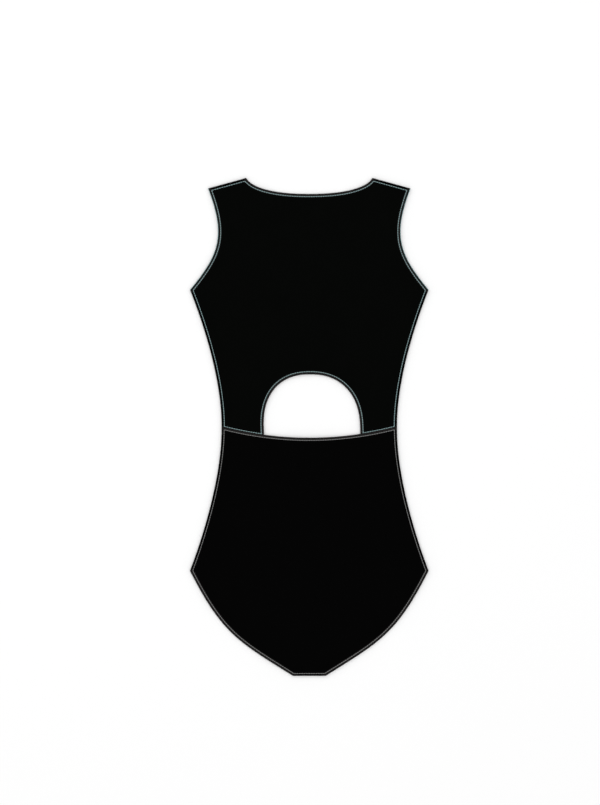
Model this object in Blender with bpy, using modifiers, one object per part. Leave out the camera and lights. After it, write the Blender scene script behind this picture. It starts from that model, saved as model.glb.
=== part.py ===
"""Sleeveless leotard with an arch-shaped cut-out above the waist seam, laid flat on its front.

The back lies on top and looks up. Every length is in millimetres until a piece is placed.
A cut is drawn as a half: x runs from the centre line to the wearer's right, depth runs
from the neck points down to the crotch. Each piece starts as a flat grid that is moved
onto its cut, is mirrored where it crosses the centre, is laid in place and is given its wall.
"""

from collections import namedtuple

import bmesh
import bpy
from mathutils import Vector

MM = 0.001

# Driving sizes
LENGTH = 680.0
CLOTH = 1.2
GAP = 0.3
BINDING_WIDTH = 5.0
BINDING_WALL = 1.6
BINDING_ROUND = 0.4
PANEL_INSET = BINDING_WIDTH + GAP
MERGE = 0.05

# Corners of the cut, as (x, depth)
NECK_POINT = Vector((86.3, 0.0))
SHOULDER_TIP = Vector((138.2, 14.3))
UNDERARM = Vector((162.9, 152.9))
HIP = Vector((163.0, 536.6))
CROTCH = Vector((22.6, LENGTH))

# Waist seam: a shallow curve, lowest at the centre
WAIST_HALF = 119.8
WAIST_CENTRE_DEPTH = 354.8
WAIST_SIDE_RISE = 15.5
WAIST_BAND = 4.3

# Arch cut-out: a superellipse that stands on short upright sides
ARCH_HALF = 65.8
ARCH_TOP_DEPTH = 268.3
ARCH_SPRING_DEPTH = 340.2
ARCH_POWER = 2.3

# How the upper layer lies: clear of the lower one, on the surface beyond it, a little full
FULLNESS = 1.3
FULL_FROM_EDGE = 55.0
SPAN_BEYOND_FRONT = 14.0
ON_SURFACE_BEYOND_FRONT = 34.0

# The cloth round the arch is drawn towards the wearer's right, most of all at the waist
ASIDE = 4.2
ASIDE_FROM_DEPTH = 236.0
ASIDE_UNTIL_DEPTH = 470.0
ASIDE_WHOLE_WITHIN = 70.0
ASIDE_GONE_BEYOND = 112.0

# Sections along each edge, and across each panel
NECK_STEPS = 8
CENTRE_STEPS = 12
ARCH_STEPS = 12
ARMHOLE_STEPS = 14
SIDE_STEPS = NECK_STEPS + CENTRE_STEPS + ARCH_STEPS - ARMHOLE_STEPS
HIP_STEPS = 15
LEG_STEPS = 15
BAND_STEPS = 12
BACK_COLUMNS = {"bodice": 6, "brief": 8}
FRONT_COLUMNS = {"bodice": 5, "brief": 6}
CORNER_SHARE = 0.15
BEVEL_ANGLE = 0.7

# A curved edge of the cut: where it starts and ends, and the handles that bend it
Edge = namedtuple("Edge", "start start_handle end_handle end")

# A raw edge that a binding wraps, and the ways along the seams that it starts and ends on
BoundEdge = namedtuple("BoundEdge", "points start_seam end_seam")

SIDE_UPPER_HANDLES = ((140.5, 210.5), (WAIST_HALF, 280.1))
SIDE_LOWER_HANDLES = ((WAIST_HALF, 401.9), (140.8, 477.5))

BACK_EDGES = {
    "neck": Edge((0.0, 21.8), (40.9, 21.8), (77.1, 15.7), NECK_POINT),
    "armhole": Edge(SHOULDER_TIP, (114.1, 77.8), (121.5, 103.4), UNDERARM),
    "leg": Edge(HIP, (118.7, 623.7), (96.7, 633.3), CROTCH),
}
FRONT_EDGES = {
    "neck": Edge((0.0, 85.0), (45.0, 85.0), (79.0, 50.0), NECK_POINT),
    "armhole": Edge(SHOULDER_TIP, (108.0, 77.8), (114.0, 106.0), UNDERARM),
    "leg": Edge(HIP, (107.0, 577.0), (60.0, 622.0), CROTCH),
}

# Colours are linear, each with its roughness
CLOTHS = {
    "bodice_jersey": ((0.0022, 0.0022, 0.0022), 0.62),
    "brief_jersey": ((0.0015, 0.0015, 0.0015), 0.7),
    "binding_elastic": ((0.0018, 0.0016, 0.0015), 0.55),
}


def clear_scene():
    for obj in list(bpy.data.objects):
        bpy.data.objects.remove(obj, do_unlink=True)


def cloth_materials():
    made = {}
    for name, (colour, roughness) in CLOTHS.items():
        material = bpy.data.materials.new(name)
        material.use_nodes = True
        shader = material.node_tree.nodes["Principled BSDF"]
        shader.inputs["Base Color"].default_value = (*colour, 1.0)
        shader.inputs["Roughness"].default_value = roughness
        shader.inputs["Metallic"].default_value = 0.0
        made[name] = material
    return made


def smooth(value, low, high):
    """0 below low, 1 above high, and an even S between."""
    share = min(1.0, max(0.0, (value - low) / (high - low)))
    return share * share * (3.0 - 2.0 * share)


def waist_depth(x):
    """Depth of the waist band's upper edge."""
    return WAIST_CENTRE_DEPTH - WAIST_SIDE_RISE * (x / WAIST_HALF) ** 2


def waist_point(x):
    return Vector((x, waist_depth(x)))


def laid(point):
    """A point of the whole cut with its height, in place in metres and with the neck towards +Y."""
    x, depth, height = point
    if depth < WAIST_CENTRE_DEPTH:
        share = max(0.0, (depth - ASIDE_FROM_DEPTH) / (WAIST_CENTRE_DEPTH - ASIDE_FROM_DEPTH))
    else:
        share = 1.0 - smooth(depth, WAIST_CENTRE_DEPTH, ASIDE_UNTIL_DEPTH)
    aside = ASIDE * share * (1.0 - smooth(abs(x), ASIDE_WHOLE_WITHIN, ASIDE_GONE_BEYOND))
    # Along the waist's curve, so that the curve itself keeps its place
    depth += waist_depth(x + aside) - waist_depth(x)
    return Vector((x + aside, LENGTH / 2 - depth, height)) * MM


def along(edge, steps):
    """Points along a curved edge, from its start to its end."""
    start, start_handle, end_handle, end = (Vector(point) for point in edge)
    points = []
    for i in range(steps + 1):
        t = i / steps
        s = 1.0 - t
        points.append(
            start * s**3 + start_handle * 3 * s * s * t + end_handle * 3 * s * t * t + end * t**3
        )
    return points


def side_upper():
    """Side seam from the underarm to the waist band."""
    foot = waist_point(WAIST_HALF) - Vector((0.0, GAP))
    return Edge(UNDERARM, *SIDE_UPPER_HANDLES, foot)


def side_lower():
    """Side seam from the waist band to the hip corner."""
    head = waist_point(WAIST_HALF) + Vector((0.0, WAIST_BAND + GAP))
    return Edge(head, *SIDE_LOWER_HANDLES, HIP)


def arch_points():
    """The cut-out's edge, from its foot on the waist band up to the top of the arch."""
    rise = ARCH_SPRING_DEPTH - ARCH_TOP_DEPTH
    points = [waist_point(ARCH_HALF) - Vector((0.0, GAP))]
    for i in range(ARCH_STEPS):
        # Evenly turned, so the steps are short where the arch bends most
        turn = Vector((1.0, 0.0)).slerp(Vector((0.0, 1.0)), i / (ARCH_STEPS - 1))
        reach = (turn.x**ARCH_POWER + turn.y**ARCH_POWER) ** (-1.0 / ARCH_POWER)
        points.append(
            Vector((ARCH_HALF * turn.x * reach, ARCH_SPRING_DEPTH - rise * turn.y * reach))
        )
    points[-1].x = 0.0
    return points


def direction(start, end):
    return (Vector(end) - Vector(start)).normalized()


def bound_edges(cut):
    """The raw edges of one layer's half: the first two cross the centre, the others come in pairs."""
    shoulder = direction(NECK_POINT, SHOULDER_TIP)
    side = direction(UNDERARM, SIDE_UPPER_HANDLES[0])
    hip = direction(HIP, SIDE_LOWER_HANDLES[1])
    waist = direction(waist_point(ARCH_HALF), waist_point(ARCH_HALF + BINDING_WIDTH))
    crotch = Vector((-1.0, 0.0))
    return {
        "neck": BoundEdge(along(cut["neck"], NECK_STEPS), None, shoulder),
        "arch": BoundEdge(arch_points(), waist, None),
        "armhole": BoundEdge(along(cut["armhole"], ARMHOLE_STEPS), -shoulder, side),
        "leg": BoundEdge(along(cut["leg"], LEG_STEPS), hip, crotch),
    }


def inset(bound, width):
    """A bound edge moved into the cloth, along the seam or centre line where it ends on one."""
    moved = []
    last = len(bound.points) - 1
    for i, point in enumerate(bound.points):
        tangent = (bound.points[min(i + 1, last)] - bound.points[max(i - 1, 0)]).normalized()
        inwards = Vector((-tangent.y, tangent.x))
        way = inwards.copy()
        for seam, share in ((bound.start_seam, i / last), (bound.end_seam, 1.0 - i / last)):
            if seam is not None:
                way = way.lerp(seam, max(0.0, 1.0 - share / CORNER_SHARE))
        if point.x == 0.0:
            way.x = 0.0
        moved.append(point + way * (width / way.dot(inwards)))
    return moved


def distance_to(point, line):
    """Shortest distance from a point to a line of points."""
    distances = []
    for start, end in zip(line, line[1:]):
        span = end - start
        share = (point - start).dot(span) / span.length_squared
        foot = start + span * min(1.0, max(0.0, share))
        distances.append((point - foot).length)
    return min(distances)


def is_inside(point, outline):
    """Whether a point lies in a half outline, which the centre line closes."""
    crossed = False
    corners = [*outline, Vector((-1.0, outline[-1].y)), Vector((-1.0, outline[0].y))]
    for a, b in zip(corners, corners[1:] + corners[:1]):
        if (a.y > point.y) != (b.y > point.y):
            crossing = a.x + (point.y - a.y) / (b.y - a.y) * (b.x - a.x)
            if point.x < crossing:
                crossed = not crossed
    return crossed


def half_outline(bound):
    """The cut's whole outer edge on one half, from the neck's centre to the crotch's centre."""
    return [
        *bound["neck"].points,
        *bound["armhole"].points,
        *along(side_upper(), SIDE_STEPS)[1:],
        *along(side_lower(), HIP_STEPS),
        *bound["leg"].points[1:],
        Vector((0.0, LENGTH)),
    ]


class Layer:
    """One side of the leotard: its cut, and the height at which its underside lies."""

    def __init__(self, name, cut, columns, binding_wall, lies_on=None):
        self.name = name
        self.columns = columns
        self.binding_wall = binding_wall
        self.bound = bound_edges(cut)
        self.outline = half_outline(self.bound)
        self.lies_on = lies_on

    def height(self, point):
        if self.lies_on is None:
            return 0.0
        beyond = 0.0
        if not is_inside(point, self.lies_on.outline):
            beyond = distance_to(point, self.lies_on.outline)
        on_front = 1.0 - smooth(beyond, SPAN_BEYOND_FRONT, ON_SURFACE_BEYOND_FRONT)
        arch = self.bound["arch"].points
        from_edge = min(distance_to(point, self.outline), distance_to(point, arch))
        full = FULLNESS * smooth(from_edge, 0.0, FULL_FROM_EDGE)
        return (CLOTH + GAP) * on_front + full


def between(left, right, top=None, bottom=None):
    """Places rows of a panel from left[i] to right[i], bent towards its top and bottom seams."""
    last = len(left) - 1

    def place(u, v):
        row = round(v * last)
        point = left[row].lerp(right[row], u)
        for seam, end, share in ((top, 0, 1.0 - v), (bottom, last, v)):
            if seam is not None:
                straight = left[end].lerp(right[end], u)
                point = point + Vector((0.0, seam(straight.x) - straight.y)) * share
        return point

    return place


def cloth_piece(layer, name, place, columns, rows, wall, side=0, binding=False):
    """A grid moved onto its cut, mirrored if side is 0, with its wall grown upwards."""
    mesh = bpy.data.meshes.new(f"{layer.name}_{name}")
    shape = bmesh.new()
    bmesh.ops.create_grid(shape, x_segments=columns, y_segments=rows, size=0.5)
    for vertex in shape.verts:
        point = place(vertex.co.x + 0.5, vertex.co.y + 0.5)
        vertex.co = (point.x * (side or 1), point.y, layer.height(point))
    if side == 0:
        half = [*shape.verts, *shape.edges, *shape.faces]
        bmesh.ops.mirror(shape, geom=half, axis="X", merge_dist=MERGE)
    for vertex in shape.verts:
        vertex.co = laid(vertex.co)
    bmesh.ops.recalc_face_normals(shape, faces=shape.faces)
    if sum(face.normal.z for face in shape.faces) < 0:
        bmesh.ops.reverse_faces(shape, faces=shape.faces)
    shape.to_mesh(mesh)
    shape.free()
    obj = bpy.data.objects.new(mesh.name, mesh)
    solidify = obj.modifiers.new("wall", "SOLIDIFY")
    solidify.thickness = wall * MM
    solidify.offset = 1.0
    if binding:
        bevel = obj.modifiers.new("rounded", "BEVEL")
        bevel.width = BINDING_ROUND * MM
        bevel.segments = 1
        bevel.limit_method = "ANGLE"
        bevel.angle_limit = BEVEL_ANGLE
    return obj


def bodice(layer):
    """Upper panel: neck, centre and arch on its inner side, armhole and side seam on its outer side."""
    neck, arch, armhole = (
        inset(layer.bound[name], PANEL_INSET) for name in ("neck", "arch", "armhole")
    )
    side = along(side_upper()._replace(start=armhole[-1]), SIDE_STEPS)
    centre = [neck[0].lerp(arch[-1], i / CENTRE_STEPS) for i in range(1, CENTRE_STEPS)]
    inner = [*reversed(neck), *centre, *reversed(arch)]
    outer = [*armhole, *side[1:]]
    place = between(inner, outer, bottom=lambda x: waist_depth(x) - GAP)
    return cloth_piece(layer, "bodice", place, layer.columns["bodice"], len(inner) - 1, CLOTH)


def brief(layer):
    """Lower panel, from the waist band to the crotch seam."""
    leg = inset(layer.bound["leg"], PANEL_INSET)
    side = along(side_lower()._replace(end=leg[0]), HIP_STEPS)
    outer = [*side, *leg[1:]]
    rows = len(outer) - 1
    top = waist_point(0.0) + Vector((0.0, WAIST_BAND + GAP))
    foot = Vector((0.0, LENGTH))
    centre = [top.lerp(foot, i / rows) for i in range(rows + 1)]
    place = between(centre, outer, top=lambda x: waist_depth(x) + WAIST_BAND + GAP)
    return cloth_piece(layer, "brief", place, layer.columns["brief"], rows, CLOTH)


def waist_band(layer):
    """Narrow band along the waist seam, whose upper edge also closes the arch."""

    def place(u, v):
        return waist_point(WAIST_HALF * v) + Vector((0.0, WAIST_BAND * u))

    wall = layer.binding_wall
    return cloth_piece(layer, "waist_band", place, 1, BAND_STEPS, wall, binding=True)


def edge_binding(layer, edge_name, hand="", side=0):
    """Narrow binding that wraps a raw edge. It is sewn on before the side seams close."""
    bound = layer.bound[edge_name]
    place = between(bound.points, inset(bound, BINDING_WIDTH))
    steps = len(bound.points) - 1
    name = f"{edge_name}_binding{hand}"
    return cloth_piece(layer, name, place, 1, steps, layer.binding_wall, side, binding=True)


def bindings(layer):
    made = [edge_binding(layer, name) for name in ("neck", "arch")]
    for name in ("armhole", "leg"):
        for hand, side in (("_right", 1), ("_left", -1)):
            made.append(edge_binding(layer, name, hand, side))
    return made


def main():
    clear_scene()
    materials = cloth_materials()
    garment = bpy.data.collections.new("leotard")
    bpy.context.scene.collection.children.link(garment)
    front = Layer("front", FRONT_EDGES, FRONT_COLUMNS, CLOTH)
    back = Layer("back", BACK_EDGES, BACK_COLUMNS, BINDING_WALL, lies_on=front)
    for layer in (front, back):
        dressed = [
            (bodice(layer), "bodice_jersey"),
            (brief(layer), "brief_jersey"),
            (waist_band(layer), "binding_elastic"),
            *((bound, "binding_elastic") for bound in bindings(layer)),
        ]
        for obj, cloth in dressed:
            obj.data.materials.append(materials[cloth])
            garment.objects.link(obj)


main()
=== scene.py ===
# %% [markdown]
# A black leotard, laid flat on its front.
# It is sewn from four pieces of stretch jersey: a bodice and a brief for the back, and the same
# for the front. Narrow folded elastic binds the neck, the armholes, the legs and the arch-shaped
# cut-out, and a band covers the waist seam. A line of grey thread runs just inside every edge,
# and a finer teal one holds the armholes' very edge.
# This lesson draws the cut as curves, lays cloth between them, and sews it with Geometry Nodes.

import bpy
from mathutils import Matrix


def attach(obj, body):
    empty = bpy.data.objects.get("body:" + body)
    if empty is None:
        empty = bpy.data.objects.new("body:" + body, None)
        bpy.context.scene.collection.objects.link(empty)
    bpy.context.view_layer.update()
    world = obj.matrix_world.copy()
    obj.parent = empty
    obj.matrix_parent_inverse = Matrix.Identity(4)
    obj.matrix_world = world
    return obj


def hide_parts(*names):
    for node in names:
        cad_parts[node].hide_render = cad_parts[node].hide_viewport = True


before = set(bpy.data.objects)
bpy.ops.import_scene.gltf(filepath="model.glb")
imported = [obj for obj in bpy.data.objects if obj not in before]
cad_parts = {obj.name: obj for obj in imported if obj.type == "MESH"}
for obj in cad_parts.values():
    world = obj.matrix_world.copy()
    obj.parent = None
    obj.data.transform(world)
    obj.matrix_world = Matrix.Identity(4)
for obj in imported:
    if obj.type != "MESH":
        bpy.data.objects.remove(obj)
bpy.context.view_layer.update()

# %% [markdown]
# Every length is in millimetres until a mesh is made, because a pattern cutter thinks in them.
# The cut is symmetric, so it is drawn as a half: x runs out from the centre line, and depth runs
# down from the neck points. The curves are cubic, with a handle near each end.

# %% Sizes of the cut
import math
from collections import namedtuple

import bmesh
import bpy
import numpy as np

MM = 0.001
LENGTH = 680.0
CLOTH = 1.2
BINDING_WIDTH = 5.0
BINDING_WALL = {"back": 1.6, "front": 1.2}
WAIST_HALF = 119.8
WAIST_CENTRE_DEPTH = 354.8
WAIST_SIDE_RISE = 15.5
WAIST_BAND = 4.3
ARCH_HALF = 65.8
ARCH_TOP_DEPTH = 268.3
ARCH_SPRING_DEPTH = 340.2
ARCH_POWER = 2.3
DENSE = 400

NECK_POINT = (86.3, 0.0)
SHOULDER_TIP = (138.2, 14.3)
UNDERARM = (162.9, 152.9)
HIP = (163.0, 536.6)
CROTCH = (22.6, LENGTH)

Curve = namedtuple("Curve", "start start_handle end_handle end")
SIDE_UPPER = Curve(UNDERARM, (140.5, 210.5), (WAIST_HALF, 280.1), (WAIST_HALF, 339.3))
SIDE_LOWER = Curve((WAIST_HALF, 343.6), (WAIST_HALF, 401.9), (140.8, 477.5), HIP)
CUTS = {
    "back": {
        "neck": Curve((0.0, 21.8), (40.9, 21.8), (77.1, 15.7), NECK_POINT),
        "armhole": Curve(SHOULDER_TIP, (114.1, 77.8), (121.5, 103.4), UNDERARM),
        "leg": Curve(HIP, (118.7, 623.7), (96.7, 633.3), CROTCH),
    },
    "front": {
        "neck": Curve((0.0, 85.0), (45.0, 85.0), (79.0, 50.0), NECK_POINT),
        "armhole": Curve(SHOULDER_TIP, (108.0, 77.8), (114.0, 106.0), UNDERARM),
        "leg": Curve(HIP, (107.0, 577.0), (60.0, 622.0), CROTCH),
    },
}
print("the cut is", LENGTH, "mm long and", 2 * HIP[0], "mm across the hips")

# %% [markdown]
# The camera looks straight down, as the picture of a garment on white does. A long lens keeps the
# edges from leaning. The picture is 600 by 805 pixels, and a pixel is 1.3655 mm on the cloth,
# so the camera's height follows from its lens, and its place from where the middle pixel falls.

# %% Camera
FRAME_WIDTH_PX = 600
FRAME_HEIGHT_PX = 805
MM_PER_PX = 1.3655
CENTRE_LINE_PX = 309.28
NECK_POINTS_PX = 177.9
LENS_MM = 110.0
SENSOR_MM = 36.0
CLOTH_TOP_MM = 3.0


def in_scene(name, data):
    """An object that carries the data, linked into the scene."""
    made = bpy.data.objects.new(name, data)
    bpy.context.scene.collection.objects.link(made)
    return made


camera_data = bpy.data.cameras.new("camera")
camera = in_scene("camera", camera_data)
camera_data.lens = LENS_MM
camera_data.sensor_width = SENSOR_MM
camera_data.clip_end = 50.0
above = FRAME_HEIGHT_PX * MM_PER_PX * LENS_MM / SENSOR_MM + CLOTH_TOP_MM
camera.location = (
    (FRAME_WIDTH_PX / 2 - CENTRE_LINE_PX) * MM_PER_PX * MM,
    (LENGTH / 2 - (FRAME_HEIGHT_PX / 2 - NECK_POINTS_PX) * MM_PER_PX) * MM,
    above * MM,
)
bpy.context.scene.camera = camera
print("the camera stands", round(above), "mm above the floor")

# %% [markdown]
# Black cloth shows its form by what it reflects, so the light is wide and soft: a large panel
# overhead, a lower one from the upper left that picks out edges, and an even pale surround. The
# standard view keeps black cloth black and the pale floor close to white.

# %% Light and floor
bpy.context.scene.view_settings.view_transform = "Standard"

world = bpy.data.worlds.new("studio")
world.use_nodes = True
world.node_tree.nodes["Background"].inputs["Color"].default_value = (1.0, 1.0, 1.0, 1.0)
world.node_tree.nodes["Background"].inputs["Strength"].default_value = 0.84
bpy.context.scene.world = world


def soft_panel(name, watts, size, place):
    """A square area light at place, turned to the middle of the cloth."""
    data = bpy.data.lights.new(name, "AREA")
    data.energy = watts
    data.size = size
    light = in_scene(name, data)
    light.location = place
    light.rotation_euler = (-light.location).to_track_quat("-Z", "Y").to_euler()
    return light


soft_panel("overhead", watts=25.0, size=3.0, place=(0.3, 0.2, 3.6))
soft_panel("upper_left", watts=9.0, size=1.2, place=(-2.2, 1.6, 1.5))

FLOOR_SIZE = 12.0
BELOW_THE_CLOTH = -0.0001
bpy.ops.mesh.primitive_plane_add(size=FLOOR_SIZE, location=(0.0, 0.0, BELOW_THE_CLOTH))
floor = bpy.context.object
floor.name = "floor"
pale = bpy.data.materials.new("pale_floor")
pale.use_nodes = True
FLOOR_LOOK = {"Base Color": (0.97, 0.97, 0.97, 1.0), "Roughness": 0.9, "Specular IOR Level": 0.1}
for title, value in FLOOR_LOOK.items():
    pale.node_tree.nodes["Principled BSDF"].inputs[title].default_value = value
floor.data.materials.append(pale)
print("the floor is", floor.dimensions.x, "m wide")

# %% [markdown]
# Each edge of the cut becomes a line of points, which is easier to measure, divide and join than
# a curve object. The lines run round each panel in one direction, so the cloth always lies on the
# same hand. Points are spaced evenly along an edge before cloth is laid on it.


# %% Edges as lines of points
def cubic(curve):
    t = np.linspace(0.0, 1.0, DENSE + 1)[:, None]
    s = 1.0 - t
    start, start_handle, end_handle, end = (np.array(point) for point in curve)
    return start * s**3 + 3 * start_handle * s * s * t + 3 * end_handle * s * t * t + end * t**3


def straight(start, end):
    return np.linspace(start, end, DENSE + 1)


def waist_depth(x):
    """How deep the waist band's upper edge lies, so far from the centre line."""
    return WAIST_CENTRE_DEPTH - WAIST_SIDE_RISE * (x / WAIST_HALF) ** 2


def waist_line(start_x, end_x):
    """The waist band's upper edge, between two distances from the centre."""
    x = np.linspace(start_x, end_x, DENSE + 1)
    return np.column_stack([x, waist_depth(x)])


def arch_line():
    """Half of the cut-out's edge: up from the waist, then a superellipse to the centre line."""
    turn = np.linspace(0.0, math.pi / 2, DENSE + 1)
    across, up = np.cos(turn).clip(0.0, 1.0), np.sin(turn)
    reach = (across**ARCH_POWER + up**ARCH_POWER) ** (-1.0 / ARCH_POWER)
    rise = ARCH_SPRING_DEPTH - ARCH_TOP_DEPTH
    curve = np.column_stack([ARCH_HALF * across * reach, ARCH_SPRING_DEPTH - rise * up * reach])
    curve[-1, 0] = 0.0
    return np.vstack([waist_line(ARCH_HALF, ARCH_HALF)[:1], curve])


def reach_along(line):
    """How far along the line each of its points is."""
    return np.concatenate([[0.0], np.cumsum(np.linalg.norm(np.diff(line, axis=0), axis=1))])


def evenly(line, count):
    """The line again, with count + 1 points at even steps along it."""
    reach = reach_along(line)
    wanted = np.linspace(0.0, reach[-1], count + 1)
    return np.column_stack([np.interp(wanted, reach, column) for column in line.T])


def length_of(line):
    return float(np.linalg.norm(np.diff(line, axis=0), axis=1).sum())


def edges_of(layer):
    cut = {name: cubic(curve) for name, curve in CUTS[layer].items()}
    cut["shoulder"] = straight(NECK_POINT, SHOULDER_TIP)
    cut["side_upper"] = cubic(SIDE_UPPER)
    cut["side_lower"] = cubic(SIDE_LOWER)
    cut["crotch"] = straight(CROTCH, (0.0, LENGTH))
    cut["arch"] = arch_line()
    return cut


EDGES = {layer: edges_of(layer) for layer in ("back", "front")}
for edge_name, edge_line in EDGES["back"].items():
    print(f"{edge_name}: {length_of(edge_line):.0f} mm")

# %% [markdown]
# Elastic has a width, and a stitch line lies a little inside its edge, so lines are needed that
# keep a distance from an edge. Each point moves along the edge's normal. Near an end it turns to
# the way of the seam there, so that the piece ends on that seam and not past it.

# %% Move an edge inwards
BLEND = 8.0


def inwards(line):
    ahead = np.gradient(line, axis=0)
    ahead /= np.linalg.norm(ahead, axis=1)[:, None]
    return np.column_stack([-ahead[:, 1], ahead[:, 0]])


def inset(line, width, start_way=None, end_way=None):
    """The line moved into the cloth. Near an end it turns to the way given, or to the centre line."""
    normals = inwards(line)
    ways = normals.copy()
    reach = reach_along(line)
    for way, end, from_end in ((start_way, 0, reach), (end_way, -1, reach[-1] - reach)):
        if way is None and abs(line[end, 0]) < MM:
            way = (0.0, normals[end, 1])
        if way is not None:
            unit = np.array(way) / np.linalg.norm(way)
            share = np.clip(1.0 - from_end / BLEND, 0.0, 1.0)[:, None]
            ways = ways * (1.0 - share) + unit * share
    return line + ways * (width / (ways * normals).sum(axis=1))[:, None]


def direction(line, end):
    """The way along a line, away from its start (0) or its end (-1)."""
    step = line[1] - line[0] if end == 0 else line[-2] - line[-1]
    return step / np.linalg.norm(step)


print("an inset of the neck by 5 mm is", round(length_of(inset(EDGES["back"]["neck"], 5.0)), 1), "mm")

# %% [markdown]
# The cut is symmetric, but the garment doesn't lie quite so. Round the arch the cloth is drawn a
# few millimetres towards the wearer's right, which leaves the side seams where they are. The
# move is made last of all, on finished points, so everything before it can think in halves.


# %% The cloth drawn aside
ASIDE = 4.2
ASIDE_FROM_DEPTH = 236.0
ASIDE_UNTIL_DEPTH = 470.0
ASIDE_WHOLE_WITHIN = 70.0
ASIDE_GONE_BEYOND = 112.0


def smooth(value, low, high):
    share = np.clip((value - low) / (high - low), 0.0, 1.0)
    return share * share * (3.0 - 2.0 * share)


def drawn_aside(points):
    """Points of the whole cut, moved along the waist's curve to where they lie."""
    x, depth = points.T
    above = (depth - ASIDE_FROM_DEPTH) / (WAIST_CENTRE_DEPTH - ASIDE_FROM_DEPTH)
    below = 1.0 - smooth(depth, WAIST_CENTRE_DEPTH, ASIDE_UNTIL_DEPTH)
    share = np.where(depth < WAIST_CENTRE_DEPTH, above.clip(0.0, 1.0), below)
    moved = x + ASIDE * share * (1.0 - smooth(np.abs(x), ASIDE_WHOLE_WITHIN, ASIDE_GONE_BEYOND))
    rise = WAIST_SIDE_RISE * (moved**2 - x**2) / WAIST_HALF**2
    return np.column_stack([moved, depth - rise])


def placed(points, heights):
    """Points of the cut as places in metres, with the neck towards +Y."""
    return np.column_stack([points[:, 0], LENGTH / 2 - points[:, 1], heights]) * MM


def cut_points(mesh):
    """A mesh's points, back on the cut in millimetres, and their heights."""
    flat = np.empty(len(mesh.vertices) * 3)
    mesh.vertices.foreach_get("co", flat)
    places = flat.reshape(-1, 3) / MM
    return np.column_stack([places[:, 0], LENGTH / 2 - places[:, 1]]), places[:, 2]


def lay(mesh):
    """Moves a finished mesh from its cut to where it lies."""
    points, heights = cut_points(mesh)
    mesh.vertices.foreach_set("co", placed(drawn_aside(points), heights).ravel())
    mesh.update()


arch_foot = np.array([[ARCH_HALF, 345.0]])
print("the foot of the arch moves by", (drawn_aside(arch_foot) - arch_foot)[0, 0].round(2), "mm")

# %% [markdown]
# A soft garment on a table isn't a flat plate, but all of its form is low. It could be simulated.
# It was laid out by hand, though, so it is drawn instead, as a height over the cut that is worked
# out for any point from its distance to the edges. That distance comes first.


# %% Distance to an edge
def nearest(points, line, count=120):
    """How far each point lies from a line, and how far along the line it is nearest."""
    line = evenly(line, count)
    closest = np.full(len(points), LENGTH)
    along = np.zeros(len(points))
    reach = 0.0
    for start, end in zip(line, line[1:]):
        span = end - start
        size = np.linalg.norm(span)
        share = np.clip((points - start) @ span / size**2, 0.0, 1.0)
        distance = np.linalg.norm(points - start - share[:, None] * span, axis=1)
        nearer = distance < closest
        closest[nearer] = distance[nearer]
        along[nearer] = reach + share[nearer] * size
        reach += size
    return closest, along


def is_inside(points, outline):
    """Whether each point lies in a closed outline, by counting the edges to its right."""
    inside = np.zeros(len(points), dtype=bool)
    for start, end in zip(outline, np.roll(outline, -1, axis=0)):
        spans = (start[1] > points[:, 1]) != (end[1] > points[:, 1])
        if spans.any():
            share = (points[:, 1] - start[1]) / (end[1] - start[1])
            inside ^= spans & (points[:, 0] < start[0] + share * (end[0] - start[0]))
    return inside


OUTLINE_STEPS = 40


def half_outline(layer):
    """The half's outline as one closed line, a little past the centre line."""
    names = ("neck", "shoulder", "armhole", "side_upper", "side_lower", "leg", "crotch")
    line = np.vstack([evenly(EDGES[layer][name], OUTLINE_STEPS) for name in names])
    return np.vstack([line, [[-1.0, LENGTH], [-1.0, line[0, 1]]]])


FRONT_OUTLINE = half_outline("front")
print("the front's outline has", len(FRONT_OUTLINE), "points")

# %% [markdown]
# The front lies flat on the table. The back lies on the front, comes down towards the table where
# it reaches further than the front does, and stands a little full in the middle of each panel.
# A bound edge waves slightly, because elastic is sewn on stretched and then gathers the cloth.

# %% Height of the underside
BOUND_NAMES = ("neck", "armhole", "leg", "arch")
SEWN_NAMES = ("shoulder", "side_upper", "side_lower", "crotch")
STITCH_SHOWS = {"cloth": 0.3, "binding": 0.2}
TOUCH = 0.02
FULLNESS = 1.3
FULL_FROM_EDGE = 55.0
SPAN_BEYOND_FRONT = 14.0
ON_SURFACE_BEYOND_FRONT = 34.0
EDGE_WAVE = 0.45
EDGE_WAVE_LENGTH = 58.0
EDGE_WAVE_REACH = 26.0
CLEAR_OF_SEAM = (6.0, 34.0)
HAND_OFFSET = 0.35
HANDS_MEET_WITHIN = 25.0


def halved(points):
    return np.column_stack([np.abs(points[:, 0]), points[:, 1]])


def hand_of(points):
    """Where a wave starts on each side of the centre line, so that the halves aren't alike."""
    return HAND_OFFSET * (1.0 - smooth(points[:, 0], -HANDS_MEET_WITHIN, HANDS_MEET_WITHIN))


def crests(points, along, spacing):
    """A wave from 0 to 1 along an edge, with a crest at every spacing."""
    return 0.5 + 0.5 * np.sin(2 * math.pi * (along / spacing + hand_of(points)))


def distances_to(layer, points, names):
    """For each named edge, how far the points lie from it and where along it."""
    half = halved(points)
    return {name: nearest(half, EDGES[layer][name]) for name in names}


def beyond_front(points):
    """How far the points lie outside the front's outline."""
    half = halved(points)
    beyond = nearest(half, FRONT_OUTLINE[:-2], count=300)[0]
    beyond[is_inside(half, FRONT_OUTLINE)] = 0.0
    return beyond


def share_on_front(points):
    return 1.0 - smooth(beyond_front(points), SPAN_BEYOND_FRONT, ON_SURFACE_BEYOND_FRONT)


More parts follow.
